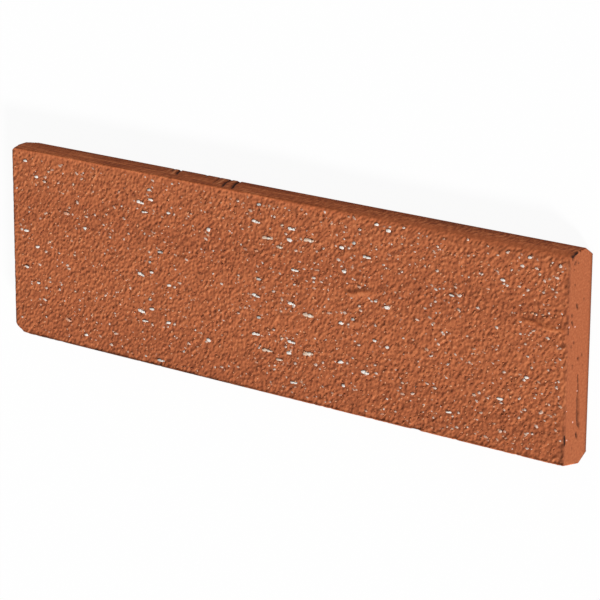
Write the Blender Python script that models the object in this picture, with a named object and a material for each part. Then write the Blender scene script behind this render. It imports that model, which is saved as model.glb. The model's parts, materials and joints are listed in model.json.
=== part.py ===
"""Fired clay brick slip, 240 x 71 x 14 mm, lying on its back with the rough face up.

X runs along the length, Y across the course height and Z out of the face, with the
origin in the middle of the back. All sizes are in metres.
"""
from math import atan2, cos, pi, radians, sin

import bmesh
import bpy
from mathutils import Vector

# Overall sizes
LENGTH = 0.240
HEIGHT = 0.071
THICKNESS = 0.014

# Section: chamfered back edges, and long sides that lean in towards the face
UPPER_CHAMFER_DEPTH = 0.0042
UPPER_CHAMFER_HEIGHT = 0.0027
LOWER_CHAMFER_DEPTH = 0.0045
LOWER_CHAMFER_HEIGHT = 0.0029
UPPER_LEAN = 0.0005
LOWER_LEAN = 0.0014

# Edge radii: the face's upper arris is crisp at the left end and worn round at the right,
# easing from one to the other between two distances from the left end
UPPER_ARRIS_LEFT_RADIUS = 0.0008
UPPER_ARRIS_RIGHT_RADIUS = 0.0038
WEAR_START = 0.105
WEAR_FULL = 0.190
LOWER_ARRIS_RADIUS = 0.0007
BACK_EDGE_RADIUS = 0.0007
END_EDGE_RADIUS = 0.0004

# Broken corner of the face, lower left: a steep facet and a long shallow one beside it
BREAK_ALONG = 0.0044
BREAK_ACROSS = 0.0028
BREAK_DEEP = 0.0050
TAIL_ALONG = 0.0070
TAIL_ACROSS = 0.0009
TAIL_DEEP = 0.0030

# Knocked corner of the back, upper left
KNOCK_ALONG = 0.0036
KNOCK_DEEP = 0.0020

# Fineness of the rounds, and the spacing of the sections that the body is lofted through
ARC_STEPS = 6
END_STEPS = 3
LOFT_STEP = 0.010
SMOOTH_ANGLE = radians(25)

CLAY_COLOUR = (0.392, 0.119, 0.052, 1.0)
CLAY_ROUGHNESS = 0.88


def clear_scene():
    for old in list(bpy.data.objects):
        bpy.data.objects.remove(old, do_unlink=True)


def fired_clay():
    clay = bpy.data.materials.new("fired_clay")
    clay.use_nodes = True
    clay.diffuse_color = CLAY_COLOUR
    shader = clay.node_tree.nodes["Principled BSDF"]
    shader.inputs["Base Color"].default_value = CLAY_COLOUR
    shader.inputs["Roughness"].default_value = CLAY_ROUGHNESS
    shader.inputs["Metallic"].default_value = 0.0
    return clay


def section_corners(upper_arris_radius):
    """The section's corners as (y, z, radius), anticlockwise seen from +X."""
    top = HEIGHT / 2
    bottom = -HEIGHT / 2
    return [
        (bottom + LOWER_CHAMFER_HEIGHT, 0.0, BACK_EDGE_RADIUS),
        (top - UPPER_CHAMFER_HEIGHT, 0.0, BACK_EDGE_RADIUS),
        (top, UPPER_CHAMFER_DEPTH, BACK_EDGE_RADIUS),
        (top - UPPER_LEAN, THICKNESS, upper_arris_radius),
        (bottom + LOWER_LEAN, THICKNESS, LOWER_ARRIS_RADIUS),
        (bottom, LOWER_CHAMFER_DEPTH, BACK_EDGE_RADIUS),
    ]


def section_outline(upper_arris_radius, inset):
    """The section's outline (y, z) with every corner rounded, drawn in by inset all round."""
    corners = section_corners(upper_arris_radius)
    outline = []
    for number, (y, z, radius) in enumerate(corners):
        before_y, before_z, _ = corners[number - 1]
        after_y, after_z, _ = corners[(number + 1) % len(corners)]
        first_normal = atan2(z - before_z, y - before_y) - pi / 2
        last_normal = atan2(after_z - z, after_y - y) - pi / 2
        turn = (last_normal - first_normal) % (2 * pi)
        middle = first_normal + turn / 2
        reach = radius / cos(turn / 2)
        centre_y = y - reach * cos(middle)
        centre_z = z - reach * sin(middle)
        for step in range(ARC_STEPS + 1):
            normal = first_normal + turn * step / ARC_STEPS
            outline.append((
                centre_y + (radius - inset) * cos(normal),
                centre_z + (radius - inset) * sin(normal),
            ))
    return outline


def loft_stations():
    """(x, inset) of each section from left to right, closing in round both end edges."""
    smallest = min(UPPER_ARRIS_LEFT_RADIUS, UPPER_ARRIS_RIGHT_RADIUS, LOWER_ARRIS_RADIUS, BACK_EDGE_RADIUS)
    end_radius = min(END_EDGE_RADIUS, 0.9 * smallest)
    shoulder = LENGTH / 2 - end_radius
    right_end = []
    for step in range(1, END_STEPS + 1):
        angle = pi / 2 * step / END_STEPS
        right_end.append((shoulder + end_radius * sin(angle), end_radius * (1 - cos(angle))))
    left_end = [(-x, inset) for x, inset in reversed(right_end)]
    bays = max(2, round(2 * shoulder / LOFT_STEP))
    body = [(shoulder * (2 * bay / bays - 1), 0.0) for bay in range(bays + 1)]
    return left_end + body + right_end


def upper_arris_radius_at(x):
    worn = (x + LENGTH / 2 - WEAR_START) / (WEAR_FULL - WEAR_START)
    worn = min(1.0, max(0.0, worn))
    eased = worn * worn * (3 - 2 * worn)
    return UPPER_ARRIS_LEFT_RADIUS + (UPPER_ARRIS_RIGHT_RADIUS - UPPER_ARRIS_LEFT_RADIUS) * eased


def loft_body(mesh):
    loops = []
    for x, inset in loft_stations():
        outline = section_outline(upper_arris_radius_at(x), inset)
        loops.append([mesh.verts.new((x, y, z)) for y, z in outline])
    for left, right in zip(loops, loops[1:]):
        for number, corner in enumerate(left):
            mesh.faces.new((corner, left[number - 1], right[number - 1], right[number]))
    mesh.faces.new(reversed(loops[0]))
    mesh.faces.new(loops[-1])
    bmesh.ops.recalc_face_normals(mesh, faces=mesh.faces)


def cut_corner(mesh, corner, ends):
    """Takes off a corner along the plane through three points on the edges that meet there."""
    first, second, third = (Vector(end) for end in ends)
    normal = (second - first).cross(third - first).normalized()
    if normal.dot(Vector(corner) - first) < 0:
        normal.negate()
    bmesh.ops.bisect_plane(
        mesh, geom=[*mesh.verts, *mesh.edges, *mesh.faces], dist=1e-7,
        plane_co=first, plane_no=normal, clear_outer=True,
    )
    bmesh.ops.holes_fill(mesh, edges=[edge for edge in mesh.edges if edge.is_boundary])


def break_face_corner(mesh, along, across, deep):
    left = -LENGTH / 2
    lower = -HEIGHT / 2 + LOWER_LEAN
    ends = [(left + along, lower, THICKNESS), (left, lower + across, THICKNESS), (left, lower, THICKNESS - deep)]
    cut_corner(mesh, (left, lower, THICKNESS), ends)


def knock_back_corner(mesh):
    left = -LENGTH / 2
    top = HEIGHT / 2
    ends = [
        (left + KNOCK_ALONG, top, UPPER_CHAMFER_DEPTH),
        (left, top, UPPER_CHAMFER_DEPTH + KNOCK_DEEP),
        (left, top - UPPER_CHAMFER_HEIGHT, 0.0),
    ]
    cut_corner(mesh, (left, top, UPPER_CHAMFER_DEPTH), ends)


def brick_slip():
    mesh = bmesh.new()
    loft_body(mesh)
    break_face_corner(mesh, BREAK_ALONG, BREAK_ACROSS, BREAK_DEEP)
    break_face_corner(mesh, TAIL_ALONG, TAIL_ACROSS, TAIL_DEEP)
    knock_back_corner(mesh)
    bmesh.ops.recalc_face_normals(mesh, faces=mesh.faces)
    data = bpy.data.meshes.new("brick_slip")
    mesh.to_mesh(data)
    mesh.free()
    data.shade_smooth()
    data.set_sharp_from_angle(angle=SMOOTH_ANGLE)
    data.materials.append(fired_clay())
    slip = bpy.data.objects.new("brick_slip", data)
    bpy.context.scene.collection.objects.link(slip)
    return slip


clear_scene()
brick_slip()
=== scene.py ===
import json
import math
import random

import bmesh
import bpy
import numpy as np
from mathutils import Matrix, Vector, noise

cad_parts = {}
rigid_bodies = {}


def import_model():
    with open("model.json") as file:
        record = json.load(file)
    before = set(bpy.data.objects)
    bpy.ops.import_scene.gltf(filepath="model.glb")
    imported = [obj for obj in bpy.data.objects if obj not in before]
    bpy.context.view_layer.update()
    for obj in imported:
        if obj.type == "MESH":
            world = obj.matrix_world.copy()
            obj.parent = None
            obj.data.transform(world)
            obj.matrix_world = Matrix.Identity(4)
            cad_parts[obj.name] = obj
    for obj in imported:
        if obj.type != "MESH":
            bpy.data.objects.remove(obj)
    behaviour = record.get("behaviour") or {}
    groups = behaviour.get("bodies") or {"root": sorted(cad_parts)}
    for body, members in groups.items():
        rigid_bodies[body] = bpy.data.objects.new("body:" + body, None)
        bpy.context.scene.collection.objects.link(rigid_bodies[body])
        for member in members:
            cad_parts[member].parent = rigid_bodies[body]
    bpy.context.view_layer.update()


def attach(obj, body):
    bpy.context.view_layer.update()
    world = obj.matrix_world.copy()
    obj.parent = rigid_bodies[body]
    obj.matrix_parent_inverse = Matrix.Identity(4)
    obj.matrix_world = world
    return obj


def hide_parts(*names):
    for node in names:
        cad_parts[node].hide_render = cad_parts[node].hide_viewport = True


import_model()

mm = 0.001
body = "root"
node = "brick_slip"
print("frame loaded:", node, "on", body)


# Small tools

def linearColour(hexCode):
    channels = [int(hexCode[start:start + 2], 16) / 255 for start in (1, 3, 5)]
    linear = [c / 12.92 if c <= 0.04045 else ((c + 0.055) / 1.055) ** 2.4 for c in channels]
    return (*linear, 1.0)


def addNode(tree, kind, settings=None, values=None, links=None):
    made = tree.nodes.new("ShaderNode" + kind)
    for name, value in (settings or {}).items():
        setattr(made, name, value)
    for socket, value in (values or {}).items():
        made.inputs[socket].default_value = value
    for socket, source in (links or {}).items():
        tree.links.new(source, made.inputs[socket])
    return made


def newMaterial(name, roughness, specular=0.5):
    material = bpy.data.materials.new(name)
    material.use_nodes = True
    shader = material.node_tree.nodes["Principled BSDF"]
    shader.inputs["Roughness"].default_value = roughness
    shader.inputs["IOR"].default_value = 1.5
    shader.inputs["Metallic"].default_value = 0.0
    shader.inputs["Specular IOR Level"].default_value = specular
    return material, material.node_tree, shader


def addRamp(tree, stops, source):
    ramp = addNode(tree, "ValToRGB", {}, {}, {"Fac": source})
    elements = ramp.color_ramp.elements
    while len(elements) > 1:
        elements.remove(elements[-1])
    elements[0].position = stops[0][0]
    elements[0].color = linearColour(stops[0][1])
    for place, hexCode in stops[1:]:
        elements.new(place).color = linearColour(hexCode)
    return ramp.outputs[0]


def smoothStep(low, high, value):
    t = np.clip((value - low) / (high - low), 0, 1)
    return t * t * (3 - 2 * t)


# The slip's body, in millimetres: the same section as the solid, lofted finely enough to carry the grain

slip = {
    "length": 240, "height": 71, "thickness": 14,
    "upperChamfer": (4.2, 2.7),  # into the thickness, across the height
    "lowerChamfer": (4.5, 2.9),
    "upperLean": 0.5, "lowerLean": 1.4,
    "crispArris": 0.8, "wornArris": 3.8,  # radius of the face's upper arris, left and right
    "wearStarts": 105, "wearFull": 190,  # from the left end
    "lowerArris": 0.7, "backEdge": 0.7, "endEdge": 0.4,
    "columnStep": 0.58, "nickStep": 0.27,
    "nickZones": [(70.5, 75.5), (90, 104.5)],  # from the left end, where the columns stand closer
    "backEdgeRows": 2, "upperArrisRows": 8, "lowerArrisRows": 4,  # rows round each corner
    "chamferRows": 3, "upperRows": 12, "faceRows": 112, "lowerRows": 4,  # rows across each flat
}
halfLength = slip["length"] / 2
halfHeight = slip["height"] / 2
thickness = slip["thickness"]
faceHigh = halfHeight - slip["upperLean"]
faceLow = -halfHeight + slip["lowerLean"]


def arrisRadius(x):
    worn = float(smoothStep(slip["wearStarts"], slip["wearFull"], x + halfLength))
    return slip["crispArris"] + (slip["wornArris"] - slip["crispArris"]) * worn


def sectionAt(x, inset):
    # from the back's upper edge round over the face to its lower edge: y, z, normal y, normal z
    edge = slip["backEdge"]
    edgeRows = slip["backEdgeRows"]
    upperDeep, upperWide = slip["upperChamfer"]
    lowerDeep, lowerWide = slip["lowerChamfer"]
    corners = [  # y, z, radius, rows round the corner, rows to the next one
        (halfHeight - upperWide, 0.0, edge, edgeRows, slip["chamferRows"]),
        (halfHeight, upperDeep, edge, edgeRows, slip["upperRows"]),
        (faceHigh, thickness, arrisRadius(x), slip["upperArrisRows"], slip["faceRows"]),
        (faceLow, thickness, slip["lowerArris"], slip["lowerArrisRows"], slip["lowerRows"]),
        (-halfHeight, lowerDeep, edge, edgeRows, 1),
        (-halfHeight + lowerWide, 0.0, edge, edgeRows, 0),
    ]
    outline = []
    flatRows = 0
    for number, (y, z, radius, arcRows, nextRows) in enumerate(corners):
        before = corners[number - 1]
        after = corners[(number + 1) % len(corners)]
        enters = math.atan2(z - before[1], y - before[0]) - math.pi / 2
        leaves = math.atan2(after[1] - z, after[0] - y) - math.pi / 2
        turn = (leaves - enters) % (2 * math.pi)
        reach = radius / math.cos(turn / 2)
        centreY = y - reach * math.cos(enters + turn / 2)
        centreZ = z - reach * math.sin(enters + turn / 2)
        arc = []
        for step in range(arcRows + 1):
            angle = enters + turn * step / arcRows
            normalY = math.cos(angle)
            normalZ = math.sin(angle)
            pointY = centreY + (radius - inset) * normalY
            pointZ = centreZ + (radius - inset) * normalZ
            arc.append((pointY, pointZ, normalY, normalZ))
        for step in range(1, flatRows):
            share = step / flatRows
            outline.append(tuple(a + (b - a) * share for a, b in zip(lastPoint, arc[0])))
        outline.extend(arc)
        lastPoint = arc[-1]
        flatRows = nextRows
    return outline


def columnPlaces():
    # x of each column, and how far its section is drawn in to round the end edges
    edge = slip["endEdge"]
    shoulder = halfLength - edge
    along = [-shoulder]
    while along[-1] < shoulder:
        left = along[-1] + halfLength
        close = any(low <= left <= high for low, high in slip["nickZones"])
        along.append(along[-1] + (slip["nickStep"] if close else slip["columnStep"]))
    stretch = shoulder / along[-1]
    along = [x * stretch if x > 0 else x for x in along]
    angles = (math.pi / 6, math.pi / 3, math.pi / 2)
    rounding = [(shoulder + edge * math.sin(a), edge * (1 - math.cos(a))) for a in angles]
    return [(-x, inset) for x, inset in reversed(rounding)] + [(x, 0.0) for x in along] + rounding


columns = columnPlaces()
sections = np.array([sectionAt(x, inset) for x, inset in columns])
columnX = np.array([x for x, _ in columns])
columnCount, rowCount = sections.shape[:2]
skin = np.empty((columnCount, rowCount, 3))
skin[..., 0] = columnX[:, None]
skin[..., 1:] = sections[..., :2]
normals = np.zeros_like(skin)
normals[..., 1:] = sections[..., 2:]
normals /= np.linalg.norm(normals, axis=2, keepdims=True)

# Rows of the section where its parts begin
upperSideStart = 2 * slip["backEdgeRows"] + slip["chamferRows"]
arrisStart = upperSideStart + slip["upperRows"]
faceStart = arrisStart + slip["upperArrisRows"]
faceEnd = faceStart + slip["faceRows"]
lowerSideStart = faceEnd + slip["lowerArrisRows"]

# The share of torn face: it starts sharply at the crisp arris and gently where the arris is worn. There the
# arris also gets a painted highlight, a paler band that stands for the light on its worn rounding as well as
# for skin rubbed off.

tearing = {  # mm round the section
    "from": 0.3, "full": 1.5,  # below the upper arris
    "fromWorn": 0.5, "fullWorn": 3.0,  # so much more where it is worn
    "lower": (0.3, 0.9),  # above the lower arris
    # the painted highlight on the worn arris: its strength, place and width, in mm round the section
    "highlightShare": 0.55, "highlightAt": 1.9, "highlightWide": 1.7,
    "wearShown": 0.8,
}
rowLengths = np.linalg.norm(np.diff(skin[..., 1:], axis=1), axis=2)
around = np.concatenate([np.zeros((columnCount, 1)), np.cumsum(rowLengths, axis=1)], axis=1)
fromUpper = around - around[:, arrisStart:arrisStart + 1]
fromLower = around[:, lowerSideStart:lowerSideStart + 1] - around
wear = smoothStep(slip["wearStarts"], slip["wearFull"], columnX + halfLength)[:, None]
tearFrom = tearing["from"] + tearing["fromWorn"] * wear
tearFull = tearing["full"] + tearing["fullWorn"] * wear
torn = smoothStep(tearFrom, tearFull, fromUpper) * smoothStep(*tearing["lower"], fromLower)
fromEdgeHighlight = (fromUpper - tearing["highlightAt"]) / tearing["highlightWide"]
wornEdgeHighlight = wear * tearing["highlightShare"] * np.exp(-fromEdgeHighlight ** 2)

# The face's grain: the wire drags the stiff clay open along a slant

grain = {
    "slant": 45,  # degrees from the length, rising to the right
    "coarse": (1.3, 1.0), "coarseDepth": 0.20,  # mm along and across the slant, mm deep
    "fine": (0.95, 0.70), "fineDepth": 0.12,
    "comb": (5.0, 0.95), "combDepth": 0.16,
    "combPatch": 13.0, "combBias": 0.1, "combGrows": 3,
    "pore": (1.9, 1.0), "poreDepth": 0.36, "poreFrom": 0.26,
    "ridge": (8.0, 1.3), "ridgeDepth": 0.40, "ridgeFrom": 0.30,
    "swell": (19, 11), "swellDepth": 0.12,
    "wobble": 2.2, "wobbleWide": 17,
    "mean": 0.55,  # the torn face lies this far inside the solid's flat
    "edgeShare": 0.5,  # how much of the relief is left at the edges
    "endFade": (0, 1.2), "lowerFade": (0.2, 1.6),  # it grows between these distances from them
    "steepest": 1.2,
    "bands": [  # mm from the top, tone: the wire pressed more or less
        (5, 0.030), (13, 0.022), (19, -0.030), (25, -0.045), (28.5, 0.020),
        (45, 0.024), (53, 0.0), (60, -0.045), (66, -0.055),
    ],
}
slantCos = math.cos(math.radians(grain["slant"]))
slantSin = math.sin(math.radians(grain["slant"]))

# Smears, where something smoothed the face while the clay was soft

smears = {
    "places": [  # from left, from top, half length, half width, turn
        (157.5, 27.2, 6.8, 1.6, 12.0),
        (227.0, 24.5, 6.5, 1.3, 2.0),
        (233.6, 25.2, 5.5, 1.2, -1.0),
    ],
    "calm": (-0.25, 0.2),  # where the grain dies away: 0 is the rim, 1 the middle
    "smooth": (-0.1, 0.3), "smoothShare": 0.8,
    "lift": 0.4, "liftCurve": 0.8,
}


def smearAt(x, y):
    # how far inside a smear this point is: 1 at its middle, 0 at its rim and less outside
    most = -1.0
    for left, top, halfLong, halfWide, turn in smears["places"]:
        dx = x + halfLength - left
        dy = halfHeight - y - top
        c = math.cos(math.radians(turn))
        s = math.sin(math.radians(turn))
        reach = math.hypot((dx * c - dy * s) / halfLong, (dx * s + dy * c) / halfWide)
        most = max(most, 1.0 - reach)
    return most


def grainAt(x, y):
    # the height of the grain, and of the slow swell under it
    wobble = grain["wobble"] * noise.noise((x / grain["wobbleWide"], y / grain["wobbleWide"], 5.0))
    along = x * slantCos + y * slantSin + wobble
    across = -x * slantSin + y * slantCos + wobble

    def slanted(name, layer):
        return noise.noise((along / grain[name][0], across / grain[name][1], layer))

    swell = noise.noise((x / grain["swell"][0], y / grain["swell"][1], 60.0))
    patch = noise.noise((x / grain["combPatch"], y / grain["combPatch"], 120.0)) + grain["combBias"]
    combed = min(1.0, grain["combGrows"] * max(0.0, patch))
    height = grain["coarseDepth"] * slanted("coarse", 0.0) + grain["fineDepth"] * slanted("fine", 20.0)
    height += grain["combDepth"] * slanted("comb", 100.0) * combed
    height -= grain["poreDepth"] * max(0.0, slanted("pore", 40.0) - grain["poreFrom"])
    height += grain["ridgeDepth"] * max(0.0, slanted("ridge", 80.0) - grain["ridgeFrom"])
    return height, swell * grain["swellDepth"]


relief = np.zeros((columnCount, rowCount))
lift = np.zeros((columnCount, rowCount))
smeared = np.zeros((columnCount, rowCount))
for column in range(columnCount):
    for row in range(arrisStart, lowerSideStart + 1):
        if torn[column, row] > 0:
            x, y, _ = skin[column, row]
            height, swell = grainAt(x, y)
            smear = smearAt(x, y)
            relief[column, row] = height * (1.0 - float(smoothStep(*smears["calm"], smear)))
            lift[column, row] = swell + smears["lift"] * max(0.0, smear) ** smears["liftCurve"]
            smeared[column, row] = float(smoothStep(*smears["smooth"], smear))

# How steeply the grain rises to the upper left, which turns it to the light from the lower right: the colour
# gets painted light on such slopes and painted shade on the others
onFace = slice(faceStart, faceEnd + 1)
slopeX = np.gradient(relief, columnX, axis=0)
slopeY = np.zeros_like(relief)
for column in range(columnCount):
    slopeY[column, onFace] = np.gradient(relief[column, onFace], skin[column, onFace, 1])
litSlope = np.clip((slopeY - slopeX) / math.sqrt(2), -grain["steepest"], grain["steepest"])

bandTops, bandTones = zip(*grain["bands"])
band = np.interp(halfHeight - skin[..., 1], bandTops, bandTones)
fromEnds = smoothStep(*grain["endFade"], halfLength - np.abs(columnX))[:, None]
fade = grain["edgeShare"] + (1 - grain["edgeShare"]) * fromEnds * smoothStep(*grain["lowerFade"], fromLower)
depth = torn * np.minimum(0.0, (relief + lift) * fade - grain["mean"])
skin += normals * depth[..., None]
print("grain: from", round(float(depth.min()), 2), "mm below the solid's flat")


# Grog: crushed pale brick in the clay, torn proud of the face

grog = {
    "kinds": {  # the colour of a chip's outer pieces and of its middle one
        "white": ("#e2dcd4", "#e2dcd4"), "grey": ("#b4b1ab", "#d2cdc6"), "cream": ("#cbb09a", "#dccdbd"),
        "pink": ("#c08a6e", "#e0b49b"), "dusty": ("#c9b0a1", "#c9b0a1"),
    },
    "bands": [  # the drag repeats its pattern: offset, from, to, as far as
        (0.0, 0.0, 30.0, 240),
        (26.0, 2.5, 14.0, 200),
        (39.5, 1.0, 29.0, 240),
    ],
    "turn": (-3, 10),
    "long": 1.7,  # shorter ones are blunt, and the clay dusts the white ones
    "highest": 0.24, "highShare": 0.15, "highBase": 0.05,
    "wideShare": 0.95, "sunk": 1.15,
    "twist": 5, "tip": 10, "jagged": 0.3,  # degrees, degrees, share
    "breaksFrom": 2.6,  # chips this long are in three pieces
    "whole": [(0.0, 0.0, 1.0, 1.0)],  # a piece's place along and across, length and width
    "broken": [(-0.22, 0.08, 0.6, 0.95), (0.12, -0.05, 0.5, 0.8), (0.36, -0.1, 0.3, 0.6)],
    "onEnd": [(11.5, 12.6), (10.9, 9.2), (-10.7, 6.8), (-20.6, 8.7), (-16.1, 12.4), (-25.8, 11.8)],
    "endSize": (0.9, 0.8, 0.06), "endColour": "#cf9f92",
}
largeGrog = [  # from the left, from the top, length, width, kind
    (6.6, 4.8, 2.5, 1.1, "white"), (12.0, 10.0, 1.8, 1.0, "white"), (16.0, 11.2, 1.5, 0.9, "white"),
    (18.0, 7.2, 1.2, 0.9, "cream"), (22.6, 10.6, 1.4, 0.9, "white"), (30.0, 10.0, 1.3, 0.9, "cream"),
    (32.0, 16.5, 1.4, 0.9, "white"), (40.3, 19.6, 1.3, 0.9, "white"), (26.8, 21.3, 3.0, 1.4, "pink"),
    (35.2, 25.3, 2.0, 1.0, "white"), (47.5, 26.7, 1.5, 0.9, "white"), (62.0, 11.6, 3.2, 1.4, "white"),
    (66.9, 9.9, 2.5, 1.0, "white"), (66.2, 6.5, 1.8, 1.0, "grey"), (63.8, 14.8, 2.8, 0.8, "white"),
    (74.8, 13.4, 2.0, 1.0, "white"), (77.5, 13.5, 1.3, 1.0, "white"), (71.0, 28.0, 3.0, 1.0, "grey"),
    (93.0, 16.3, 2.2, 1.5, "white"), (115.5, 4.0, 2.0, 1.0, "grey"), (106.3, 4.2, 1.4, 0.9, "white"),
    (114.2, 10.1, 3.6, 1.2, "white"), (119.0, 15.0, 5.0, 1.3, "cream"), (122.0, 7.2, 1.4, 0.9, "white"),
    (129.8, 10.1, 3.5, 1.2, "white"), (128.8, 14.1, 2.4, 1.3, "white"), (127.2, 12.3, 1.2, 0.9, "white"),
    (125.5, 9.5, 1.2, 0.9, "cream"), (137.0, 12.8, 4.5, 1.6, "cream"), (131.5, 17.3, 1.5, 1.0, "white"),
    (124.5, 17.3, 3.0, 1.0, "cream"), (140.3, 16.1, 1.5, 1.0, "white"), (143.2, 14.7, 1.2, 0.9, "white"),
    (114.5, 20.2, 2.0, 0.8, "pink"), (131.0, 24.2, 3.0, 1.0, "white"), (150.8, 13.0, 2.4, 1.2, "white"),
    (153.7, 12.8, 1.5, 1.0, "white"), (155.8, 10.7, 1.5, 1.0, "grey"), (152.0, 21.0, 2.0, 1.2, "white"),
    (158.3, 5.7, 1.3, 0.9, "white"), (161.2, 14.6, 3.4, 1.2, "white"), (165.0, 2.9, 1.8, 0.9, "white"),
    (169.8, 4.2, 2.2, 1.2, "white"), (165.0, 11.2, 1.3, 0.9, "white"), (175.5, 17.0, 1.4, 1.0, "white"),
    (189.7, 14.3, 1.5, 1.0, "white"), (207.2, 12.3, 1.4, 1.0, "white"), (216.5, 3.6, 1.5, 1.0, "white"),
    (225.2, 3.7, 1.8, 1.0, "white"), (218.4, 9.0, 1.3, 0.9, "white"), (215.2, 12.8, 2.4, 1.0, "white"),
    (215.6, 14.0, 1.4, 0.8, "white"), (224.7, 14.5, 1.3, 0.9, "white"), (230.8, 14.3, 1.3, 0.9, "white"),
    (236.6, 4.8, 1.6, 1.2, "white"), (229.0, 8.6, 1.2, 0.9, "cream"), (195.5, 21.3, 2.4, 0.8, "white"),
    (199.0, 20.8, 1.3, 0.9, "white"), (228.0, 21.8, 1.3, 0.9, "white"), (189.0, 24.6, 1.4, 0.9, "white"),
    (198.5, 25.9, 1.6, 0.9, "white"),
]
specks = {  # the fine grog, half veiled by clay
    "count": 1100, "seed": 11,
    "least": 0.55, "most": 1.0, "mostlySmall": 1.5,
    "left": -118.5, "long": 237, "toTheRight": 0.8,  # a power below 1 sets them closer at the right
    "top": (2.0, 68.0),
    "longShare": (1.2, 2.0), "turn": (-35, 20),
    "colours": ["#b8917c", "#bf9f8b", "#c4a897", "#ccb2a2", "#b58a71", "#ab7860", "#d0c0b4"],
}

shuffle = random.Random(specks["seed"])
faceSkin = skin[:, faceStart:faceEnd + 1]
faceYs = faceSkin[columnCount // 2, :, 1]


def faceHeight(x, y):
    # how high the torn face stands here
    column = int(np.clip(np.searchsorted(columnX, x), 0, columnCount - 1))
    row = int(np.clip(np.searchsorted(-faceYs, -y), 0, len(faceYs) - 1))
    return float(faceSkin[column, row, 2])


# The large chips where the photo has them, then the specks: x, y, length, width, turn in degrees, colours
chips = []
for offset, fromTop, toTop, farthest in grog["bands"]:
    for left, top, length, width, kind in largeGrog:
        if fromTop <= top <= toTop and left < farthest:
            turn = shuffle.uniform(*grog["turn"])
            colours = grog["kinds"]["dusty" if kind == "white" and length < grog["long"] else kind]
            chips.append((left - halfLength, halfHeight - top - offset, length, width, turn, colours))
largeChips = chips.copy()
for _ in range(specks["count"]):
    size = shuffle.random() ** specks["mostlySmall"]
    width = specks["least"] + (specks["most"] - specks["least"]) * size
    x = specks["long"] * shuffle.random() ** specks["toTheRight"] + specks["left"]
    y = halfHeight - shuffle.uniform(*specks["top"])
    length = width * shuffle.uniform(*specks["longShare"])
    turn = shuffle.uniform(*specks["turn"])
    chips.append((x, y, length, width, turn, [shuffle.choice(specks["colours"])] * 2))


# Marks pressed or broken into the clay: the points along each, its radius, its depth and how dark its
# painted shade is, or how bright its painted highlight is where that is below zero, as along the lips of
# nicks and smears

upperSideMarks = [  # x and z of the points: nicks with painted shade, and painted highlights along their lips
    ([(-47.3, 4.2), (-46.4, 6.9), (-45.0, 9.0)], 0.75, 0.60, 1.0),
    ([(-48.6, 4.2), (-47.8, 6.9), (-46.4, 10.0)], 0.60, 0.0, -0.9),
    ([(-50.0, 4.2), (-49.2, 6.5)], 0.55, 0.25, 0.8),
    ([(-51.0, 4.2), (-50.0, 8.0)], 0.50, 0.0, -0.6),
    ([(-35.2, 4.2), (-34.6, 5.2)], 0.60, 0.30, 1.0),
    ([(-30.5, 4.2), (-28.4, 10.0)], 0.55, 0.0, -0.6),
    ([(-29.2, 4.2), (-26.9, 11.0)], 0.50, 0.15, 0.5),
    ([(-26.8, 4.2), (-25.0, 11.0)], 0.60, 0.0, -0.8),
    ([(-24.2, 4.2), (-24.0, 7.5), (-22.9, 10.0), (-21.6, 12.2)], 0.75, 0.50, 1.0),
    ([(-21.9, 4.6), (-21.3, 8.5), (-19.9, 11.4)], 0.60, 0.0, -1.0),
    ([(-20.6, 4.2), (-20.2, 7.0), (-19.0, 9.5), (-17.4, 12.2)], 0.90, 0.65, 1.0),
]
rightEndMarks = [  # y and z of the points: the crack in dashes, then the pits, all with painted shade
    ([(-5.6, 6.5), (-8.0, 6.3)], 0.55, 0.5, 0.8), ([(-8.8, 6.1), (-12.6, 6.1)], 0.60, 0.5, 0.9),
    ([(-13.0, 6.1), (-15.5, 5.8), (-17.8, 6.0)], 1.05, 0.6, 0.65),
    ([(-18.0, 5.6), (-20.0, 5.8), (-21.8, 5.5)], 1.10, 0.6, 0.8),
    ([(-22.0, 4.9), (-22.9, 5.0)], 0.75, 0.5, 1.0), ([(-25.0, 6.4), (-26.2, 6.0)], 0.75, 0.5, 1.0),
    ([(17.8, 8.3), (16.9, 8.0)], 0.75, 0.4, 1.0), ([(19.0, 4.4)], 0.60, 0.4, 0.8),
    ([(24.6, 9.8)], 0.60, 0.4, 0.8), ([(14.9, 11.0)], 0.75, 0.4, 1.0),
    ([(12.9, 10.9), (12.0, 10.5)], 0.60, 0.4, 1.0), ([(5.8, 9.4)], 0.70, 0.4, 0.9),
    ([(4.8, 10.9)], 0.60, 0.4, 0.9), ([(0.8, 4.6)], 0.70, 0.4, 0.9), ([(0.0, 6.7)], 0.80, 0.4, 1.0),
    ([(-1.8, 9.8)], 0.65, 0.4, 0.8), ([(32.2, 9.6), (31.4, 10.4)], 0.60, 0.3, 0.8),
    ([(31.4, 8.3)], 0.60, 0.3, 0.9), ([(29.6, 10.6)], 0.50, 0.3, 0.6), ([(-3.0, 4.0)], 0.55, 0.3, 0.5),
    ([(-29.0, 8.8)], 0.50, 0.3, 0.5), ([(34.2, 11.6), (34.9, 10.3), (35.2, 9.2)], 0.95, 0.5, 1.5),
    ([(34.1, 11.7)], 1.30, 0.5, 1.6), ([(35.2, 7.5)], 0.70, 0.4, 1.0), ([(34.9, 10.0)], 0.60, 0.4, 0.8),
    ([(23.5, 13.6)], 0.90, 0.4, 0.9), ([(19.0, 13.6)], 0.80, 0.4, 0.9),
    ([(12.0, 13.4), (9.5, 13.2)], 0.80, 0.4, 0.8), ([(2.0, 13.4)], 0.80, 0.4, 0.8),
    ([(-4.5, 13.4)], 0.70, 0.3, 0.7), ([(-14.0, 13.4)], 0.70, 0.3, 0.7),
    ([(-24.2, 13.6), (-26.8, 13.2)], 1.00, 0.6, 1.3), ([(33.0, 0.4), (-33.0, 0.4)], 1.40, 0.0, 0.5),
]
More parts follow.
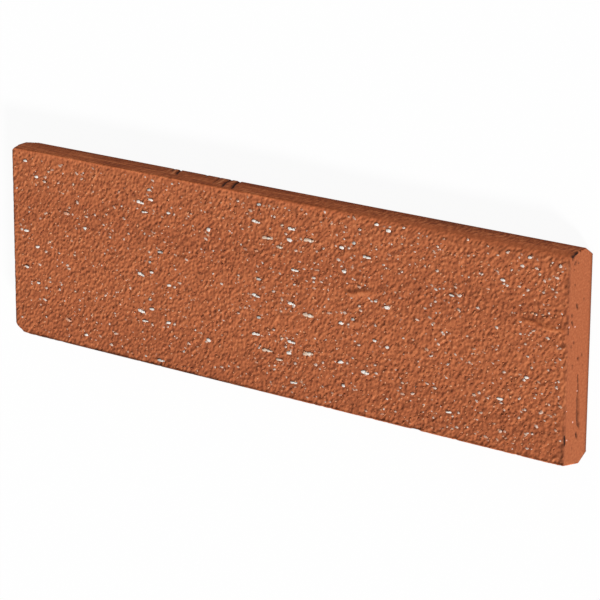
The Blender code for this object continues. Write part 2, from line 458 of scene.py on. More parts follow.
faceMarks = [  # from the left and the top: each smear, with painted shade above and a painted highlight below
    ([(152.4, 27.5), (155.3, 27.0), (158.6, 26.2), (162.6, 25.2)], 1.2, 0.2, 0.42),
    ([(152.4, 29.0), (156.6, 28.3), (161.9, 26.7)], 0.9, 0.0, -0.35),
    ([(223.2, 23.9), (225.9, 23.7), (230.4, 24.0)], 0.9, 0.15, 0.32),
    ([(222.1, 25.3), (227.8, 24.9)], 0.7, 0.0, -0.25),
    ([(229.7, 24.9), (233.5, 24.7), (236.8, 25.1)], 0.8, 0.15, 0.32),
    ([(229.7, 26.0), (233.5, 25.8), (236.4, 26.1)], 0.7, 0.0, -0.35),
]
darkPatch = ([(64, 35.5, 5.5), (76, 35.5, 5.5)], 5.0, 0.0, 0.15)  # a darker patch by the back edge
darkStrip = ([(119.1, -27.3, 13.6), (119.1, -34.0, 13.6)], 1.30, 0.2, 0.45)  # painted shade on the face beside the end
# a notch in the lower arris, with painted shade inside
lowerBreak = ([(61, -34.2, 13.4), (63.5, -34.2, 13.4)], 0.80, 0.4, 1.2)

arris = {
    "dash": 3,  # mm: each arris gets painted shade in dashes
    "ends": (-33, 34), "endZ": 13.4, "endRadius": 0.80,
    "rightDark": (0.15, 0.60), "leftDark": (0.40, 0.80),
    "lower": (-116, 26), "lowerY": -34.2, "lowerZ": 13.5, "lowerRadius": (0.65, 0.85),
    "lowerDark": 1.3, "lowerUneven": (0.6, 1.0),
    "blackFrom": (-122, -108), "blackTo": (30, -30),  # x where the lower arris's painted contact shadow sets in, and where it has faded out again
    "breaks": 150,  # small breaks with painted shade inside, most of them on the sides that are named most often
    "sides": ["right", "left", "left", "lower", "lower", "lower", "upper"],
    "endYs": (-33, 34), "lowerXs": (-117, 118), "upperXs": (-117, 10),
    "breakRadius": (0.5, 1.0), "breakDeep": (0.1, 0.3), "breakDark": (0.1, 0.5),
}
hollow = {"shift": 0.2, "margin": 0.45, "deep": 0.25, "dark": 0.4}  # a hollow round a large chip, moved to its upper left and darkened there as the chip's painted shadow
pores = {
    "count": 1500, "radius": (0.45, 0.70), "longest": 1.0, "deep": (0.15, 0.40), "dark": (0.15, 0.50),
    "xs": (-119, 119), "ys": (-33.5, 33.0), "lowest": 13.0,
}
onSide = halfHeight - 0.15
endMarkShare = 0.75
markEdge = 1.4  # how fast a mark's painted shade darkens in from its rim
litClay = 0.2  # a painted highlight on a lip shows only where the painted shade is no darker than this

marks = [([(x, onSide, z) for x, z in path], *rest) for path, *rest in upperSideMarks]
marks.append(darkPatch)
for path, radius, deep, dark in rightEndMarks:
    marks.append(([(halfLength, y, z) for y, z in path], radius, deep, endMarkShare * dark))
marks.append(darkStrip)
# painted shade in dashes along the face's arris at each end, which tones down the light on its rounding
for y in range(*arris["ends"], arris["dash"]):
    for x, shades in ((halfLength, arris["rightDark"]), (-halfLength, arris["leftDark"])):
        path = [(x, y, arris["endZ"]), (x, y + arris["dash"], arris["endZ"])]
        marks.append((path, arris["endRadius"], 0.0, shuffle.uniform(*shades)))
# a thin painted contact shadow along the lower arris, darkest towards the left end
for x in range(*arris["lower"], arris["dash"]):
    paintedContactShadow = float(smoothStep(*arris["blackTo"], x) * smoothStep(*arris["blackFrom"], x))
    dark = arris["lowerDark"] * paintedContactShadow * shuffle.uniform(*arris["lowerUneven"])
    path = [(x, arris["lowerY"], arris["lowerZ"]), (x + arris["dash"], arris["lowerY"], arris["lowerZ"])]
    marks.append((path, shuffle.uniform(*arris["lowerRadius"]), 0.0, dark))
marks.append(lowerBreak)
for path, radius, deep, dark in faceMarks:
    spots = [(left - halfLength, halfHeight - top) for left, top in path]
    marks.append(([(x, y, faceHeight(x, y)) for x, y in spots], radius, deep, dark))
for _ in range(arris["breaks"]):
    side = shuffle.choice(arris["sides"])
    radius = shuffle.uniform(*arris["breakRadius"])
    if side in ("right", "left"):
        spot = (halfLength if side == "right" else -halfLength, shuffle.uniform(*arris["endYs"]), thickness)
    elif side == "lower":
        spot = (shuffle.uniform(*arris["lowerXs"]), faceLow, thickness)
    else:
        spot = (shuffle.uniform(*arris["upperXs"]), faceHigh, thickness)
    deep = shuffle.uniform(*arris["breakDeep"])
    marks.append(([spot], radius, deep, shuffle.uniform(*arris["breakDark"])))
# each large chip's painted shadow, in a shallow hollow at its upper left
for x, y, length, width, turn, _ in largeChips:
    reach = max(0.0, length - width) / 2
    dx = reach * math.cos(math.radians(turn))
    dy = reach * math.sin(math.radians(turn))
    shift = hollow["shift"]
    height = faceHeight(x, y)
    path = [(x - dx - shift, y - dy + shift, height), (x + dx - shift, y + dy + shift, height)]
    marks.append((path, width / 2 + hollow["margin"], hollow["deep"], hollow["dark"]))
for _ in range(pores["count"]):  # pores dragged open along the slant, with painted shade inside
    x = shuffle.uniform(*pores["xs"])
    y = shuffle.uniform(*pores["ys"])
    half = shuffle.uniform(0, pores["longest"]) / 2
    height = faceHeight(x, y)
    if height > pores["lowest"]:
        dx = half * slantCos
        dy = half * slantSin
        radius = shuffle.uniform(*pores["radius"])
        deep = shuffle.uniform(*pores["deep"])
        path = [(x - dx, y - dy, height), (x + dx, y + dy, height)]
        marks.append((path, radius, deep, shuffle.uniform(*pores["dark"])))


def pressMarks(points, normals, paintedMarkShading):
    # moves the points inward along their normals and records each mark's painted shade, or painted highlight
    order = np.argsort(points[:, 0])
    sortedX = points[order, 0]
    for path, radius, deep, dark in marks:
        low = np.min(path, axis=0) - radius
        high = np.max(path, axis=0) + radius
        near = order[np.searchsorted(sortedX, low[0]):np.searchsorted(sortedX, high[0])]
        near = near[np.all((points[near] > low) & (points[near] < high), axis=1)]
        if len(near) == 0:
            continue
        nearest = np.full(len(near), np.inf)
        for start, stop in zip(path, path[1:] or path):
            run = np.subtract(stop, start)
            fromStart = points[near] - start
            share = np.clip(fromStart @ run / max(1e-9, run @ run), 0, 1)
            nearest = np.minimum(nearest, np.linalg.norm(fromStart - share[:, None] * run, axis=1))
        push = np.clip(1 - nearest / radius, 0, 1)
        shade = markEdge * dark * push
        if dark > 0:
            paintedMarkShading[near] = np.maximum(paintedMarkShading[near], np.minimum(1.0, shade))
        else:
            paintedMarkShading[near] = np.where(paintedMarkShading[near] > litClay, paintedMarkShading[near], np.maximum(-1.0, shade))
        points[near] -= normals[near] * (deep * push)[:, None]


# One closed mesh: the lofted skin, a cap on each end and the back

onSkin, onEnds, onBack = range(3)  # the clay on the face and long sides, the ends, the back
ends = {
    "margin": 0.35, "sandDeep": 0.05, "sandWide": 0.9,
    "rightRows": (124, 28), "leftRows": (50, 10),  # down the end and through its thickness
    "rightEdge": 60, "leftEdge": 30,  # steps along the back's short edges
}
back = {"step": 4.0, "insetAlong": 2, "insetAcross": 1.6}
downward = (0.0, 0.0, -1.0)

points = [tuple(p) for p in skin.reshape(-1, 3)]
pointNormals = [tuple(n) for n in normals.reshape(-1, 3)]
faces = []
faceClay = []
for column in range(columnCount - 1):
    for row in range(rowCount - 1):
        first = column * rowCount + row
        faces.append((first, first + 1, first + 1 + rowCount, first + rowCount))
        faceClay.append(onSkin)


def addPoint(place, normal):
    points.append(tuple(place))
    pointNormals.append(normal)
    return len(points) - 1


def fillGrid(numbers, flip, clay):
    for upper, lower in zip(numbers, numbers[1:]):
        for left in range(len(upper) - 1):
            quad = (upper[left], lower[left], lower[left + 1], upper[left + 1])
            faces.append(quad[::-1] if flip else quad)
            faceClay.append(clay)


def ringOf(numbers):
    # the rim of a grid of point numbers, in order round it
    right = [row[-1] for row in numbers[1:-1]]
    left = [row[0] for row in numbers[1:-1]]
    return list(numbers[0]) + right + numbers[-1][::-1] + left[::-1]


def gapBetween(a, b):
    return math.dist(points[a], points[b])


def zipLoops(outer, inner, flip, clay):
    # triangles between two loops that run the same way round
    start = min(range(len(inner)), key=lambda i: gapBetween(inner[i], outer[0]))
    inner = inner[start:] + inner[:start + 1]
    outer = outer + outer[:1]
    a = b = 0
    while a < len(outer) - 1 or b < len(inner) - 1:
        outerGap = gapBetween(outer[a + 1], inner[b]) if a < len(outer) - 1 else math.inf
        innerGap = gapBetween(outer[a], inner[b + 1]) if b < len(inner) - 1 else math.inf
        if outerGap <= innerGap:
            triangle = (outer[a], outer[a + 1], inner[b])
            a += 1
        else:
            triangle = (outer[a], inner[b + 1], inner[b])
            b += 1
        faces.append(triangle[::-1] if flip else triangle)
        faceClay.append(clay)


def shortBackEdge(column, count):
    # new points along the back's short edge, from its lower corner to its upper corner
    lower = np.array(points[column * rowCount + rowCount - 1])
    upper = np.array(points[column * rowCount])
    return [addPoint(lower + (upper - lower) * step / count, downward) for step in range(1, count)]


def capEnd(column, side, edge, acrossCount, deepCount):
    # rows across the end's flat outline, each running from its face side to its back side
    loop = [column * rowCount + row for row in range(rowCount)] + edge
    outline = [points[number][1:] for number in loop]
    margin = ends["margin"]
    high = max(y for y, _ in outline) - margin
    low = min(y for y, _ in outline) + margin
    numbers = []
    for across in range(acrossCount + 1):
        y = high + (low - high) * across / acrossCount
        crossings = []
        for (y0, z0), (y1, z1) in zip(outline, outline[1:] + outline[:1]):
            if (y0 - y) * (y1 - y) <= 0 and y0 != y1:
                crossings.append(z0 + (z1 - z0) * (y - y0) / (y1 - y0))
        front = max(crossings) - margin
        rear = min(crossings) + margin
        line = []
        for step in range(deepCount + 1):
            z = front + (rear - front) * step / deepCount
            sand = 0.5 + noise.noise((y / ends["sandWide"], z / ends["sandWide"], 9.0 * side))
            x = side * (halfLength - max(0.0, ends["sandDeep"] * sand))
            line.append(addPoint((x, y, z), (float(side), 0.0, 0.0)))
        numbers.append(line)
    fillGrid(numbers, side < 0, onEnds)
    rim = ringOf(numbers)
    zipLoops(loop, rim[:1] + rim[:0:-1], side < 0, onEnds)


lastColumn = columnCount - 1
leftEdge = shortBackEdge(0, ends["leftEdge"])
rightEdge = shortBackEdge(lastColumn, ends["rightEdge"])
capEnd(lastColumn, 1, rightEdge, *ends["rightRows"])
capEnd(0, -1, leftEdge, *ends["leftRows"])

upperEdge = [column * rowCount for column in range(columnCount)]
lowerEdge = [column * rowCount + rowCount - 1 for column in range(columnCount)]
backHigh = halfHeight - slip["upperChamfer"][1] - back["insetAcross"]
backLow = -halfHeight + slip["lowerChamfer"][1] + back["insetAcross"]
acrossCount = round((backHigh - backLow) / back["step"])
alongCount = round((slip["length"] - 2 * back["insetAlong"]) / back["step"])
backHalf = halfLength - back["insetAlong"]
backXs = [backHalf * (2 * along / alongCount - 1) for along in range(alongCount + 1)]
backNumbers = []
for across in range(acrossCount + 1):
    y = backHigh + (backLow - backHigh) * across / acrossCount
    backNumbers.append([addPoint((x, y, 0.0), downward) for x in backXs])
fillGrid(backNumbers, True, onBack)
zipLoops(upperEdge + rightEdge[::-1] + lowerEdge[::-1] + leftEdge, ringOf(backNumbers), False, onBack)

clayPoints = np.array(points)
paintedMarkShading = np.zeros(len(clayPoints))
pressMarks(clayPoints, np.array(pointNormals), paintedMarkShading)

# Broken and knocked corners, cut as in the solid, with a rough surface: the corner, and from it the three
# points on its edges that each plane goes through

upperDeep, upperWide = slip["upperChamfer"]
cutCorners = [
    ((-halfLength, faceLow, thickness), [(4.4, 0, 0), (0, 2.8, 0), (0, 0, -5.0)]),
    ((-halfLength, faceLow, thickness), [(7.0, 0, 0), (0, 0.9, 0), (0, 0, -3.0)]),
    ((-halfLength, faceHigh, thickness), [(1.8, 0, 0), (0, -1.3, 0), (0, 0, -3.5)]),
    ((-halfLength, halfHeight, upperDeep), [(3.6, 0, 0), (0, 0, 2.0), (0, -upperWide, -upperDeep)]),
]
cut = {"roughDeep": 0.3, "roughPerMm": 0.9, "reach": 12}
for corner, offsets in cutCorners:
    first, second, third = (np.add(corner, offset) for offset in offsets)
    outward = np.cross(second - first, third - first)
    outward /= np.linalg.norm(outward)
    outward *= np.sign(outward @ (corner - first))
    past = (clayPoints - first) @ outward
    nearCorner = np.linalg.norm(clayPoints - corner, axis=1) < cut["reach"]
    for number in np.flatnonzero((past > -cut["roughDeep"]) & nearCorner):
        bumpy = noise.noise(Vector(clayPoints[number]) * cut["roughPerMm"])
        rough = cut["roughDeep"] * max(0.0, 0.5 + bumpy)
        if past[number] > -rough:
            clayPoints[number] -= outward * (past[number] + rough)


def overMesh(values):
    # the skin's points come first, and the other points have none
    return np.concatenate([values.reshape(-1), np.zeros(len(clayPoints) - values.size)])


shares = {
    "torn": overMesh(torn * (1 - smears["smoothShare"] * smeared)),
    "relief": overMesh(relief * torn),
    "litSlope": overMesh(litSlope * torn),
    "band": overMesh(band),
    "wornEdgeHighlight": overMesh(wornEdgeHighlight),
    "wear": overMesh(np.repeat(tearing["wearShown"] * wear, rowCount, axis=1)),
    "paintedMarkShading": paintedMarkShading,
}
mesh = bpy.data.meshes.new("clayBody")
mesh.from_pydata([tuple(p) for p in clayPoints * mm], [], faces)
for name, values in shares.items():
    mesh.attributes.new(name, "FLOAT", "POINT").data.foreach_set("value", values.astype(np.float32))
mesh.polygons.foreach_set("material_index", faceClay)
mesh.shade_smooth()
clayBody = bpy.data.objects.new("clayBody", mesh)
bpy.context.scene.collection.objects.link(clayBody)
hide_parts(node)
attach(clayBody, body)
print("clay body:", sum(len(corners) - 2 for corners in faces), "triangles")


# The clay's colours and patterns. Streaks, side sand and the two looks below are given as repeats to the
# millimetre along x, y and z.

clay = {
    "dry": 0.15,  # specular level: unglazed clay hardly shines
    # the painted shade of the marks, and the painted highlight on their lips
    "paintedMarkShading": "#24120e", "paintedLipHighlight": "#d98a5c",
    "tornTones": [(0.1, "#693520"), (0.3, "#8d4b2e"), (0.5, "#a65c39"), (0.7, "#b96c44"), (0.9, "#c98359")],
    "grit": (1.35, 1.02), "gritBump": 0.00045,  # mm along and across the slant, metres high
    "gritShade": 0.32,  # how far off, in the grit's pattern, the grit is compared with itself, to paint light and shade on its slopes
    "cell": (0.95, 0.78),  # each sand grain in the clay has a tone of its own
    # the emboss, slope and height tones are painted light and shade, lighter where the grain faces the light
    # and darker in its hollows; the cells' tones are the grains' own
    "embossTone": 0.66, "cellTone": 0.25, "litSlopeTone": 0.03, "heightTone": 0.06,
    "patchWide": 11.0, "patchTone": (0.85, 1.2),  # the grain is stronger in some patches than in others
    "patchNoise": (0.35, 0.65),
    "sideTones": [(0.36, "#824023"), (0.5, "#aa5931"), (0.64, "#cb774a")],
    "streaks": (0.06, 0.9, 0.9), "sideSand": (0.85, 0.85, 0.4),
    "sandShare": 0.4, "sandWhereWorn": 0.7,
    "backEdge": "#6b2612", "backEdgeShare": 0.45, "backEdgeFade": (5.0, 8.0),  # mm up from the back
    "wornEdgeHighlight": "#dd7a4c",
    "sideBump": 0.15,  # the grit's bump on the sides, as a share of the face's
}
endLook = {
    "tones": [(0.3, "#85472a"), (0.5, "#955232"), (0.7, "#a35f3c")],
    "perMm": (1.3, 1.3, 1.3), "mixed": 0.65, "bump": 0.0001,  # metres high
}
backLook = {
    "tones": [(0.3, "#93502f"), (0.5, "#a35d3c"), (0.7, "#b06a48")],
    "perMm": (0.2, 1.2, 1.0), "mixed": 0.6, "bump": 0.0002,
}
inColour = {"data_type": "RGBA"}
multiplyAdd = {"operation": "MULTIPLY_ADD"}


def clayPlace(tree):
    place = addNode(tree, "TexCoord").outputs["Object"]
    return addNode(tree, "VectorMath", {"operation": "SCALE"}, {"Scale": 1000}, {0: place}).outputs[0]


def withMarkShading(tree, colour):
    # dark clay from the marks, painted shade inside nicks, pits, cracks, breaks and pores and along the
    # arrises, and bright clay along the lips of nicks and smears, a painted highlight
    share = addNode(tree, "Attribute", {"attribute_name": "paintedMarkShading"}).outputs["Fac"]
    for sign, tint in ((1.0, clay["paintedMarkShading"]), (-1.0, clay["paintedLipHighlight"])):
        part = addNode(tree, "Math", {"operation": "MULTIPLY", "use_clamp": True}, {1: sign}, {0: share})
        mixed = addNode(tree, "Mix", inColour, {7: linearColour(tint)}, {0: part.outputs[0], 6: colour})
        colour = mixed.outputs[2]
    return colour


# Clay with a torn face and smooth long sides: the die leaves a close dark skin on the sides, and a wire
# drags the face open into slanting grain and pores. The face's colour carries painted light and shade:
# lighter crests and slopes facing the light, darker pores and hollows

tornClay, tree, shader = newMaterial("draggedTerracotta", 0.9, clay["dry"])
inMm = clayPlace(tree)
baked = {}
for name in ("torn", "relief", "litSlope", "band", "wear", "wornEdgeHighlight"):
    baked[name] = addNode(tree, "Attribute", {"attribute_name": name}).outputs["Fac"]

turned = (0, 0, math.radians(grain["slant"]))
gritPlace = addNode(tree, "Mapping", {"vector_type": "TEXTURE"},
                    {"Rotation": turned, "Scale": (*clay["grit"], 1.0)}, {"Vector": inMm}).outputs[0]
# Painted emboss: the grit less the grit a little way off, lighter where it rises to the light and darker
# where it falls away
below = {1: (0.0, -clay["gritShade"], 0.0)}
downhill = addNode(tree, "VectorMath", {"operation": "ADD"}, below, {0: gritPlace}).outputs[0]
onePerMm = {"Scale": 1.0, "Detail": 0}
grit = addNode(tree, "TexNoise", {}, onePerMm, {"Vector": gritPlace}).outputs[0]
gritBelow = addNode(tree, "TexNoise", {}, onePerMm, {"Vector": downhill}).outputs[0]
embossShading = addNode(tree, "Math", {"operation": "SUBTRACT"}, {}, {0: grit, 1: gritBelow}).outputs[0]

cellPlace = addNode(tree, "Mapping", {"vector_type": "TEXTURE"},
                    {"Rotation": turned, "Scale": (*clay["cell"], 1.0)}, {"Vector": inMm}).outputs[0]
cells = addNode(tree, "TexVoronoi", {"voronoi_dimensions": "2D"}, {"Scale": 1.0}, {"Vector": cellPlace})
tone = addNode(tree, "SeparateXYZ", {}, {}, {0: cells.outputs["Color"]}).outputs[0]
tone = addNode(tree, "Math", {"operation": "SUBTRACT"}, {1: 0.5}, {0: tone}).outputs[0]
tone = addNode(tree, "Math", {"operation": "MULTIPLY"}, {1: clay["cellTone"]}, {0: tone}).outputs[0]
# painted light and shade from the emboss, the slope and the height, over each grain's own tone
for weight, source in (("embossTone", embossShading), ("litSlopeTone", baked["litSlope"]), ("heightTone", baked["relief"])):
    tone = addNode(tree, "Math", multiplyAdd, {1: clay[weight]}, {0: source, 2: tone}).outputs[0]
wide = {"Scale": 1 / clay["patchWide"], "Detail": 1}
patches = addNode(tree, "TexNoise", {}, wide, {"Vector": inMm}).outputs[0]
weak, strong = clay["patchTone"]
patchLow, patchHigh = clay["patchNoise"]
patchRange = {"From Min": patchLow, "From Max": patchHigh, "To Min": weak, "To Max": strong}
patches = addNode(tree, "MapRange", {}, patchRange, {"Value": patches}).outputs[0]
base = addNode(tree, "Math", {"operation": "ADD"}, {1: 0.5}, {0: baked["band"]}).outputs[0]
tone = addNode(tree, "Math", multiplyAdd, {}, {0: tone, 1: patches, 2: base}).outputs[0]
tornColour = addRamp(tree, clay["tornTones"], tone)

streakPlace = addNode(tree, "Mapping", {}, {"Scale": clay["streaks"]}, {"Vector": inMm}).outputs[0]
streakLook = {"Scale": 1.0, "Detail": 3, "Roughness": 0.6}
streaks = addNode(tree, "TexNoise", {}, streakLook, {"Vector": streakPlace}).outputs[0]
sandPlace = addNode(tree, "Mapping", {}, {"Scale": clay["sideSand"]}, {"Vector": inMm}).outputs[0]
sandLook = {"Scale": 1.0, "Detail": 2, "Roughness": 0.6}
sand = addNode(tree, "TexNoise", {}, sandLook, {"Vector": sandPlace}).outputs[0]
sandy = {1: clay["sandWhereWorn"], 2: clay["sandShare"]}
sandShare = addNode(tree, "Math", multiplyAdd, sandy, {0: baked["wear"]}).outputs[0]
sideTone = addNode(tree, "Mix", {"data_type": "FLOAT"}, {}, {0: sandShare, 2: streaks, 3: sand}).outputs[0]
sideColour = addRamp(tree, clay["sideTones"], sideTone)
upFromBack = addNode(tree, "SeparateXYZ", {}, {}, {0: inMm}).outputs["Z"]
fadeFrom, fadeTo = clay["backEdgeFade"]
fading = {"From Min": fadeFrom, "From Max": fadeTo, "To Min": clay["backEdgeShare"], "To Max": 0.0}
byBack = addNode(tree, "MapRange", {}, fading, {"Value": upFromBack}).outputs[0]

darkEdge = linearColour(clay["backEdge"])
highlightTint = linearColour(clay["wornEdgeHighlight"])
colour = addNode(tree, "Mix", inColour, {7: darkEdge}, {0: byBack, 6: sideColour}).outputs[2]
colour = addNode(tree, "Mix", inColour, {}, {0: baked["torn"], 6: colour, 7: tornColour}).outputs[2]
# a painted highlight along the worn upper arris, partly paler worn clay
colour = addNode(tree, "Mix", inColour, {7: highlightTint}, {0: baked["wornEdgeHighlight"], 6: colour}).outputs[2]
tree.links.new(withMarkShading(tree, colour), shader.inputs["Base Color"])

rough = {1: 1 - clay["sideBump"], 2: clay["sideBump"]}
bumpShare = addNode(tree, "Math", multiplyAdd, rough, {0: baked["torn"]}).outputs[0]
tornBump = addNode(tree, "Bump", {}, {"Distance": clay["gritBump"]}, {"Height": grit, "Strength": bumpShare})
tree.links.new(tornBump.outputs[0], shader.inputs["Normal"])
mesh.materials.append(tornClay)


def evenClay(name, look):
    material, tree, shader = newMaterial(name, 0.92, clay["dry"])
    place = addNode(tree, "Mapping", {}, {"Scale": look["perMm"]}, {"Vector": clayPlace(tree)}).outputs[0]
    noiseLook = {"Scale": 1.0, "Detail": 4, "Roughness": look["mixed"]}
    pattern = addNode(tree, "TexNoise", {}, noiseLook, {"Vector": place}).outputs[0]
    tree.links.new(withMarkShading(tree, addRamp(tree, look["tones"], pattern)), shader.inputs["Base Color"])
    bump = addNode(tree, "Bump", {}, {"Strength": 0.5, "Distance": look["bump"]}, {"Height": pattern})
    tree.links.new(bump.outputs[0], shader.inputs["Normal"])
    return material


# Ends: cut by wire and dusted with sand before firing, so they are even, dry and a little lighter
mesh.materials.append(evenClay("sandedTerracottaEnd", endLook))

# Back: wire cut and left plain, so it shows faint drag lines along its length
mesh.materials.append(evenClay("wireCutTerracottaBack", backLook))
print("clay materials made")


# Angular grains, each with its own tint

def brokenShape(small):
    # unit points and faces: a small grain is a five-sided cone sunk by its foot, and a large one is a ball
    builder = bmesh.new()
    if small:
        bmesh.ops.create_cone(builder, cap_ends=True, segments=5, radius1=1.05, radius2=0.0, depth=1.4)
        bmesh.ops.translate(builder, verts=builder.verts, vec=(0, 0, 0.3))
    else:
        bmesh.ops.create_icosphere(builder, subdivisions=1, radius=1.0)
    unitPoints = [vertex.co.copy() for vertex in builder.verts]
    unitFaces = [[vertex.index for vertex in side.verts] for side in builder.faces]
    builder.free()
    return unitPoints, unitFaces


smallShape = brokenShape(True)
largeShape = brokenShape(False)


def newHeap():
    return {"points": [], "faces": [], "tints": []}


def addChip(heap, unitShape, centre, spin, length, width, high, tint):
    unitPoints, unitFaces = unitShape
    base = len(heap["points"])
    for corner in unitPoints:
        jag = 1 + grog["jagged"] * shuffle.uniform(-1, 1)
        along = corner.x * length / 2 * jag
        across = corner.y * width / 2 * jag
        heap["points"].append(centre + spin @ Vector((along, across, corner.z * high)))
    heap["tints"].extend([tint] * len(unitPoints))
    heap["faces"].extend([[base + number for number in side] for side in unitFaces])


def finishHeap(name, heap, material, rounded=False):
    heapMesh = bpy.data.meshes.new(name)
    heapMesh.from_pydata([point * mm for point in heap["points"]], [], heap["faces"])
    tints = heapMesh.color_attributes.new("tint", "FLOAT_COLOR", "POINT")
    tints.data.foreach_set("color", np.array(heap["tints"], dtype=np.float32).ravel())
    heapMesh.materials.append(material)
    if rounded:
        heapMesh.shade_smooth()
    made = bpy.data.objects.new(name, heapMesh)
    bpy.context.scene.collection.objects.link(made)
    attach(made, body)
    print(name + ":", sum(len(side) - 2 for side in heap["faces"]), "triangles")


def tintedMaterial(name, roughness):
    material, tree, shader = newMaterial(name, roughness, 0.25)
    tint = addNode(tree, "VertexColor", {"layer_name": "tint"})
    tree.links.new(tint.outputs["Color"], shader.inputs["Base Color"])
    return material


# Fired grog: hard, dry broken pieces, which catch the light whole and read as pale specks

chipHeap = newHeap()
for x, y, length, width, turn, (outer, middle) in chips:
    high = min(grog["highest"], grog["highShare"] * width + grog["highBase"])
    unitShape = largeShape if length > grog["long"] else smallShape
    pieces = grog["whole"] if length < grog["breaksFrom"] else grog["broken"]
    for (alongShare, acrossShare, longShare, wideShare), tint in zip(pieces, [outer, middle, outer]):
        angle = math.radians(turn + shuffle.uniform(-grog["twist"], grog["twist"]))
        px = x + alongShare * length * math.cos(angle) - acrossShare * width * math.sin(angle)
        py = y + alongShare * length * math.sin(angle) + acrossShare * width * math.cos(angle)
        tip = math.radians(shuffle.uniform(-grog["tip"], grog["tip"]))
        spin = Matrix.Rotation(angle, 3, "Z") @ Matrix.Rotation(tip, 3, "Y")
        centre = Vector((px, py, min(faceHeight(px, py), thickness - grog["sunk"] * high)))
        size = (length * longShare, grog["wideShare"] * width * wideShare, high)
        addChip(chipHeap, unitShape, centre, spin, *size, linearColour(tint))
for y, z in grog["onEnd"]:
    spin = Matrix.Rotation(math.pi / 2, 3, "Y")
    centre = Vector((halfLength - grog["endSize"][2], y, z))
    addChip(chipHeap, largeShape, centre, spin, *grog["endSize"], linearColour(grog["endColour"]))
finishHeap("grogChips", chipHeap, tintedMaterial("crushedGrog", 0.6))

# Sand grains coated by the clay: they stand proud and give the eye the face's close, dry, pebbled grain

sandGrains = {
    "pitch": 1.9, "scatter": 0.8,
    "left": -119, "low": -33.5, "long": 238, "wide": 68,  # the field they are set in
    "inEnds": 119.0, "inLow": -33.0, "inHigh": 34, "inWorn": 3.5,  # none stands past these
    "lowest": 12.7, "clearOfSmears": -0.3,
    "length": (0.8, 1.5), "width": (0.6, 0.95), "high": (0.16, 0.30), "turn": (10, 75),
    "foot": 0.05, "sunk": 1.2,
    "tints": ["#8a482d", "#9a5434", "#a45c39", "#ad6540", "#b8724b", "#c88d68"],
}
grainHeap = newHeap()
pitch = sandGrains["pitch"]
scatter = sandGrains["scatter"]
for across in range(int(sandGrains["wide"] / pitch)):
    for along in range(int(sandGrains["long"] / pitch)):
        x = sandGrains["left"] + pitch * (along + 0.5 * (across % 2)) + shuffle.uniform(-scatter, scatter)
        y = sandGrains["low"] + pitch * across + shuffle.uniform(-scatter, scatter)
        high = shuffle.uniform(*sandGrains["high"])
        ground = faceHeight(x, y)
        upper = sandGrains["inHigh"] - sandGrains["inWorn"] * arrisRadius(x) / slip["wornArris"]
        outside = abs(x) > sandGrains["inEnds"] or y < sandGrains["inLow"] or y > upper
        if outside or ground < sandGrains["lowest"] or smearAt(x, y) > sandGrains["clearOfSmears"]:
            continue
        spin = Matrix.Rotation(math.radians(shuffle.uniform(*sandGrains["turn"])), 3, "Z")
        centre = Vector((x, y, min(ground - sandGrains["foot"], thickness - sandGrains["sunk"] * high)))
        tint = linearColour(shuffle.choice(sandGrains["tints"]))
        length = shuffle.uniform(*sandGrains["length"])
        width = shuffle.uniform(*sandGrains["width"])
        addChip(grainHeap, smallShape, centre, spin, length, width, high, tint)
finishHeap("sandGrains", grainHeap, tintedMaterial("clayCoatedSand", 0.9), rounded=True)


# Floor, light and camera

studio = {
    "floorSize": 8.0, "floorColour": "#ececec", "floorDrop": 0.0002, "floorGlow": 0.94,
    "keyFrom": (0.714, -0.458, 0.53), "keyStrength": 4.2, "keySoftness": 10,  # degrees across
    "worldStrength": 0.35,
    "cameraAt": (0.57240, 0.25498, 0.71726), "cameraTo": (0.00823, -0.00094, 0.00700),
    "cameraUp": (-0.17327, 0.96241, -0.20914), "lens": 166.92,
}


def seenBy(tree, rays):
    # 1 for the rays that show it to the camera, 0 for those that only light other things
    path = addNode(tree, "LightPath")
    seen = path.outputs[rays[0]]
    for name in rays[1:]:
        other = path.outputs[name]
        seen = addNode(tree, "Math", {"operation": "MAXIMUM"}, {}, {0: seen, 1: other}).outputs[0]
    return seen


half = studio["floorSize"] / 2
floorMesh = bpy.data.meshes.new("floor")
floorCorners = [(-half, -half, 0), (half, -half, 0), (half, half, 0), (-half, half, 0)]
floorMesh.from_pydata(floorCorners, [], [(0, 1, 2, 3)])
floor = bpy.data.objects.new("floor", floorMesh)
floor.location.z = -studio["floorDrop"]
bpy.context.scene.collection.objects.link(floor)

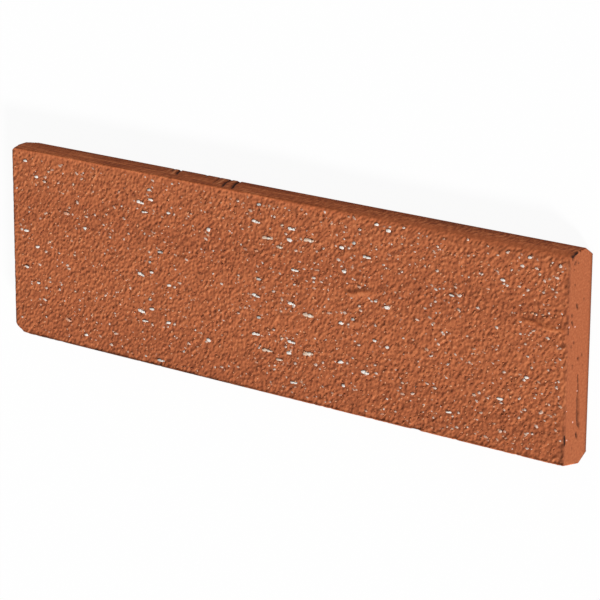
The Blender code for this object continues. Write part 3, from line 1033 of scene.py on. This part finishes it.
# Paper: it takes the slip's soft shadow, and the camera sees it close to white
paper, tree, shader = newMaterial("whitePaperFloor", 0.95)
shader.inputs["Base Color"].default_value = linearColour(studio["floorColour"])
seen = seenBy(tree, ["Is Camera Ray", "Is Glossy Ray", "Is Transmission Ray"])
glow = addNode(tree, "Emission", {}, {"Color": (1, 1, 1, 1), "Strength": 1.0})
glowShare = addNode(tree, "Math", {"operation": "MULTIPLY"}, {1: studio["floorGlow"]}, {0: seen}).outputs[0]
blend = addNode(tree, "MixShader", {}, {}, {0: glowShare, 1: shader.outputs[0], 2: glow.outputs[0]})
tree.links.new(blend.outputs[0], tree.nodes["Material Output"].inputs["Surface"])
floorMesh.materials.append(paper)

# An even sky: the camera sees it white, and the slip takes a part of it as fill light
world = bpy.data.worlds.new("studio")
bpy.context.scene.world = world
world.use_nodes = True
tree = world.node_tree
sky = tree.nodes["Background"]
sky.inputs["Color"].default_value = (1, 1, 1, 1)
dim = studio["worldStrength"]
seen = seenBy(tree, ["Is Camera Ray", "Is Glossy Ray"])
lit = addNode(tree, "Math", multiplyAdd, {1: 1 - dim, 2: dim}, {0: seen})
tree.links.new(lit.outputs[0], sky.inputs["Strength"])

# A soft sun from beyond the right end and the lower side, low enough to pick out the grain
keyLight = bpy.data.lights.new("keyLight", "SUN")
keyLight.energy = studio["keyStrength"]
keyLight.angle = math.radians(studio["keySoftness"])
key = bpy.data.objects.new("keyLight", keyLight)
key.rotation_mode = "QUATERNION"
key.rotation_quaternion = Vector(studio["keyFrom"]).to_track_quat("Z", "Y")
bpy.context.scene.collection.objects.link(key)

# The camera sees the slip from the side that the photo shows
cameraData = bpy.data.cameras.new("camera")
cameraData.lens = studio["lens"]
cameraData.sensor_width = 36
cameraData.clip_end = 50
camera = bpy.data.objects.new("camera", cameraData)
backward = (Vector(studio["cameraAt"]) - Vector(studio["cameraTo"])).normalized()
rightward = Vector(studio["cameraUp"]).cross(backward).normalized()
upward = backward.cross(rightward)
facing = Matrix((rightward, upward, backward)).transposed()
camera.matrix_world = Matrix.Translation(studio["cameraAt"]) @ facing.to_4x4()
bpy.context.scene.collection.objects.link(camera)
bpy.context.scene.camera = camera
bpy.context.scene.view_settings.view_transform = "Standard"
print("studio ready")
